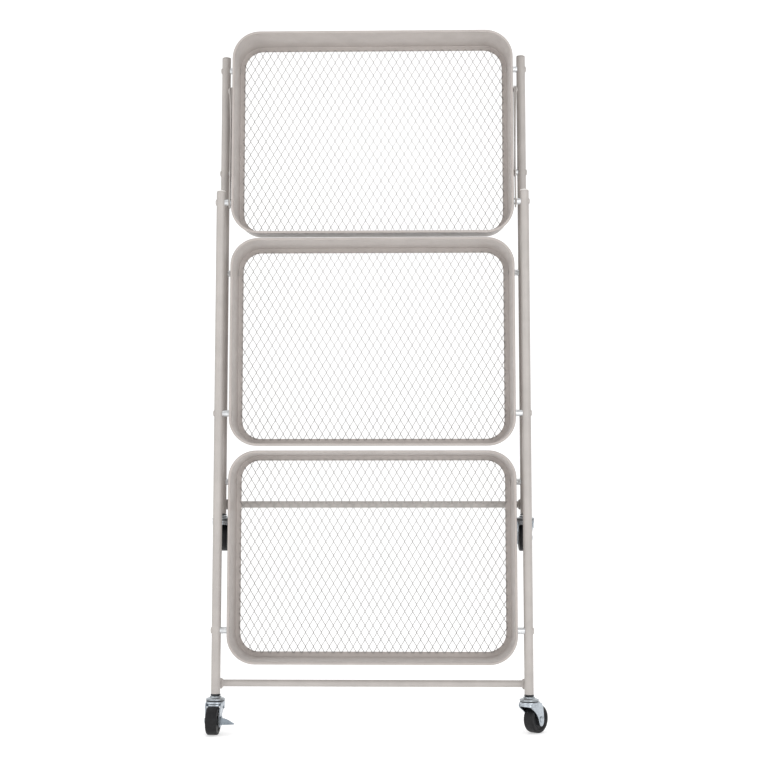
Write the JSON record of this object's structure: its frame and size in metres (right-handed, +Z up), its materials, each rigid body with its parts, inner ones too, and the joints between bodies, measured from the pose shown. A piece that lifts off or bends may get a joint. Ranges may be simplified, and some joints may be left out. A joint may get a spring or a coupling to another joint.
{
  "type": "folding rolling utility cart",
  "caption": "Folding utility cart on swivel casters: wire-mesh baskets pivot between two tube frames and stand on edge when folded.",
  "frame": {"origin": "on the floor, midway between the front legs, in the plane of their centre lines", "axes": "+X to the right seen from the open side of the folded baskets, +Y to the back, +Z up"},
  "size_m": [0.4707, 0.1093, 0.9867],
  "materials": {
    "powder_coat": "satin warm grey powder coat",
    "coated_mesh": "satin warm grey powder coat on expanded metal",
    "cap_plastic": "satin pale grey",
    "spacer": "pale zinc with pale spacer",
    "zinc": "bright zinc plate",
    "black_plastic": "satin",
    "black_rubber": "matte"
  },
  "bodies": {
    "front_frame": {"front_leg_left": "powder_coat", "front_leg_cap_left": "cap_plastic", "front_stem_socket_left": "black_plastic", "caster_head_front_left": "zinc", "top_front_pivot_left": "spacer", "middle_front_pivot_left": "spacer", "bottom_front_pivot_left": "spacer", "front_leg_right": "powder_coat", "front_leg_cap_right": "cap_plastic", "front_stem_socket_right": "black_plastic", "caster_head_front_right": "zinc", "top_front_pivot_right": "spacer", "middle_front_pivot_right": "spacer", "bottom_front_pivot_right": "spacer", "front_crossbar": "powder_coat"},
    "top_basket": {"top_basket_band": "powder_coat", "top_basket_floor": "coated_mesh"},
    "middle_basket": {"middle_basket_band": "powder_coat", "middle_basket_floor": "coated_mesh"},
    "bottom_basket": {"bottom_basket_band": "powder_coat", "bottom_basket_floor": "coated_mesh"},
    "rear_frame": {"rear_leg_left": "powder_coat", "rear_leg_cap_left": "cap_plastic", "rear_stem_socket_left": "black_plastic", "caster_head_rear_left": "zinc", "brace_foot_rivet_left": "spacer", "top_rear_pivot_left": "spacer", "middle_rear_pivot_left": "spacer", "bottom_rear_pivot_left": "spacer", "rear_leg_right": "powder_coat", "rear_leg_cap_right": "cap_plastic", "rear_stem_socket_right": "black_plastic", "caster_head_rear_right": "zinc", "brace_foot_rivet_right": "spacer", "top_rear_pivot_right": "spacer", "middle_rear_pivot_right": "spacer", "bottom_rear_pivot_right": "spacer", "rear_crossbar": "powder_coat"},
    "brace_upper_left": {"brace_upper_link_left": "powder_coat"},
    "brace_lower_left": {"brace_lower_link_left": "powder_coat", "brace_knee_rivet_left": "zinc"},
    "brace_upper_right": {"brace_upper_link_right": "powder_coat"},
    "brace_lower_right": {"brace_lower_link_right": "powder_coat", "brace_knee_rivet_right": "zinc"},
    "caster_front_left": {"caster_fork_front_left": "zinc", "caster_axle_front_left": "zinc"},
    "wheel_front_left": {"caster_wheel_front_left": "black_rubber"},
    "caster_front_right": {"caster_fork_front_right": "zinc", "caster_axle_front_right": "zinc"},
    "wheel_front_right": {"caster_wheel_front_right": "black_rubber"},
    "caster_rear_left": {"caster_fork_rear_left": "zinc", "caster_axle_rear_left": "zinc"},
    "wheel_rear_left": {"caster_wheel_rear_left": "black_rubber"},
    "caster_rear_right": {"caster_fork_rear_right": "zinc", "caster_axle_rear_right": "zinc"},
    "wheel_rear_right": {"caster_wheel_rear_right": "black_rubber"},
    "brake_front_left": {"brake_lever_front_left": "zinc"}
  },
  "joints": [
    {"name": "fold", "type": "hinge", "parent": "front_frame", "child": "top_basket", "pos_m": [0, 0, 0.739], "axis": [-1, 0, 0], "range_deg": [0, 90]},
    {"name": "middle_basket_fold", "type": "hinge", "parent": "front_frame", "child": "middle_basket", "pos_m": [0, 0, 0.439], "axis": [-1, 0, 0], "range_deg": [0, 90]},
    {"name": "bottom_basket_fold", "type": "hinge", "parent": "front_frame", "child": "bottom_basket", "pos_m": [0, 0, 0.139], "axis": [-1, 0, 0], "range_deg": [0, 90]},
    {"name": "rear_frame_fold", "type": "hinge", "parent": "top_basket", "child": "rear_frame", "pos_m": [0, 0.041, 0.944], "axis": [1, 0, 0], "range_deg": [0, 90]},
    {"name": "brace_upper_fold_left", "type": "hinge", "parent": "front_frame", "child": "brace_upper_left", "pos_m": [-0.20275, 0, 0.739], "axis": [-1, 0, 0], "range_deg": [0, 130.4]},
    {"name": "brace_lower_fold_left", "type": "hinge", "parent": "rear_frame", "child": "brace_lower_left", "pos_m": [-0.20495, 0.041, 0.791], "axis": [1, 0, 0], "range_deg": [0, 30.63]},
    {"name": "brace_upper_fold_right", "type": "hinge", "parent": "front_frame", "child": "brace_upper_right", "pos_m": [0.20275, 0, 0.739], "axis": [-1, 0, 0], "range_deg": [0, 130.4]},
    {"name": "brace_lower_fold_right", "type": "hinge", "parent": "rear_frame", "child": "brace_lower_right", "pos_m": [0.20495, 0.041, 0.791], "axis": [1, 0, 0], "range_deg": [0, 30.63]},
    {"name": "swivel_front_left", "type": "hinge", "parent": "front_frame", "child": "caster_front_left", "pos_m": [-0.215, 0, 0.0435], "axis": [0, 0, 1], "continuous": true},
    {"name": "roll_front_left", "type": "hinge", "parent": "caster_front_left", "child": "wheel_front_left", "pos_m": [-0.21592, -0.01497, 0.019], "axis": [-0.9981, 0.061, 0], "continuous": true},
    {"name": "brake_front_left", "type": "hinge", "parent": "caster_front_left", "child": "brake_front_left", "pos_m": [-0.21592, -0.01497, 0.019], "axis": [-0.9981, 0.061, 0], "range_deg": [0, 25]},
    {"name": "swivel_front_right", "type": "hinge", "parent": "front_frame", "child": "caster_front_right", "pos_m": [0.215, 0, 0.0435], "axis": [0, 0, 1], "continuous": true},
    {"name": "roll_front_right", "type": "hinge", "parent": "caster_front_right", "child": "wheel_front_right", "pos_m": [0.22484, 0.01132, 0.019], "axis": [0.7547, -0.6561, 0], "continuous": true},
    {"name": "swivel_rear_left", "type": "hinge", "parent": "rear_frame", "child": "caster_rear_left", "pos_m": [-0.215, 0.041, 0.2895], "axis": [0, 0, 1], "range_deg": [-28, 135]},
    {"name": "roll_rear_left", "type": "hinge", "parent": "caster_rear_left", "child": "wheel_rear_left", "pos_m": [-0.215, 0.056, 0.265], "axis": [1, 0, 0], "continuous": true},
    {"name": "swivel_rear_right", "type": "hinge", "parent": "rear_frame", "child": "caster_rear_right", "pos_m": [0.215, 0.041, 0.2895], "axis": [0, 0, 1], "range_deg": [-135, 28]},
    {"name": "roll_rear_right", "type": "hinge", "parent": "caster_rear_right", "child": "wheel_rear_right", "pos_m": [0.215, 0.056, 0.265], "axis": [1, 0, 0], "continuous": true}
  ],
  "couplings": [
    {"joint": "middle_basket_fold", "follows": "fold", "ratio": 1},
    {"joint": "bottom_basket_fold", "follows": "fold", "ratio": 1},
    {"joint": "rear_frame_fold", "follows": "fold", "ratio": 1},
    {"joint": "brace_upper_fold_left", "follows": "fold", "ratio": 1.4487},
    {"joint": "brace_lower_fold_left", "follows": "fold", "ratio": 0.34015},
    {"joint": "brace_upper_fold_right", "follows": "fold", "ratio": 1.4487},
    {"joint": "brace_lower_fold_right", "follows": "fold", "ratio": 0.34015}
  ]
}
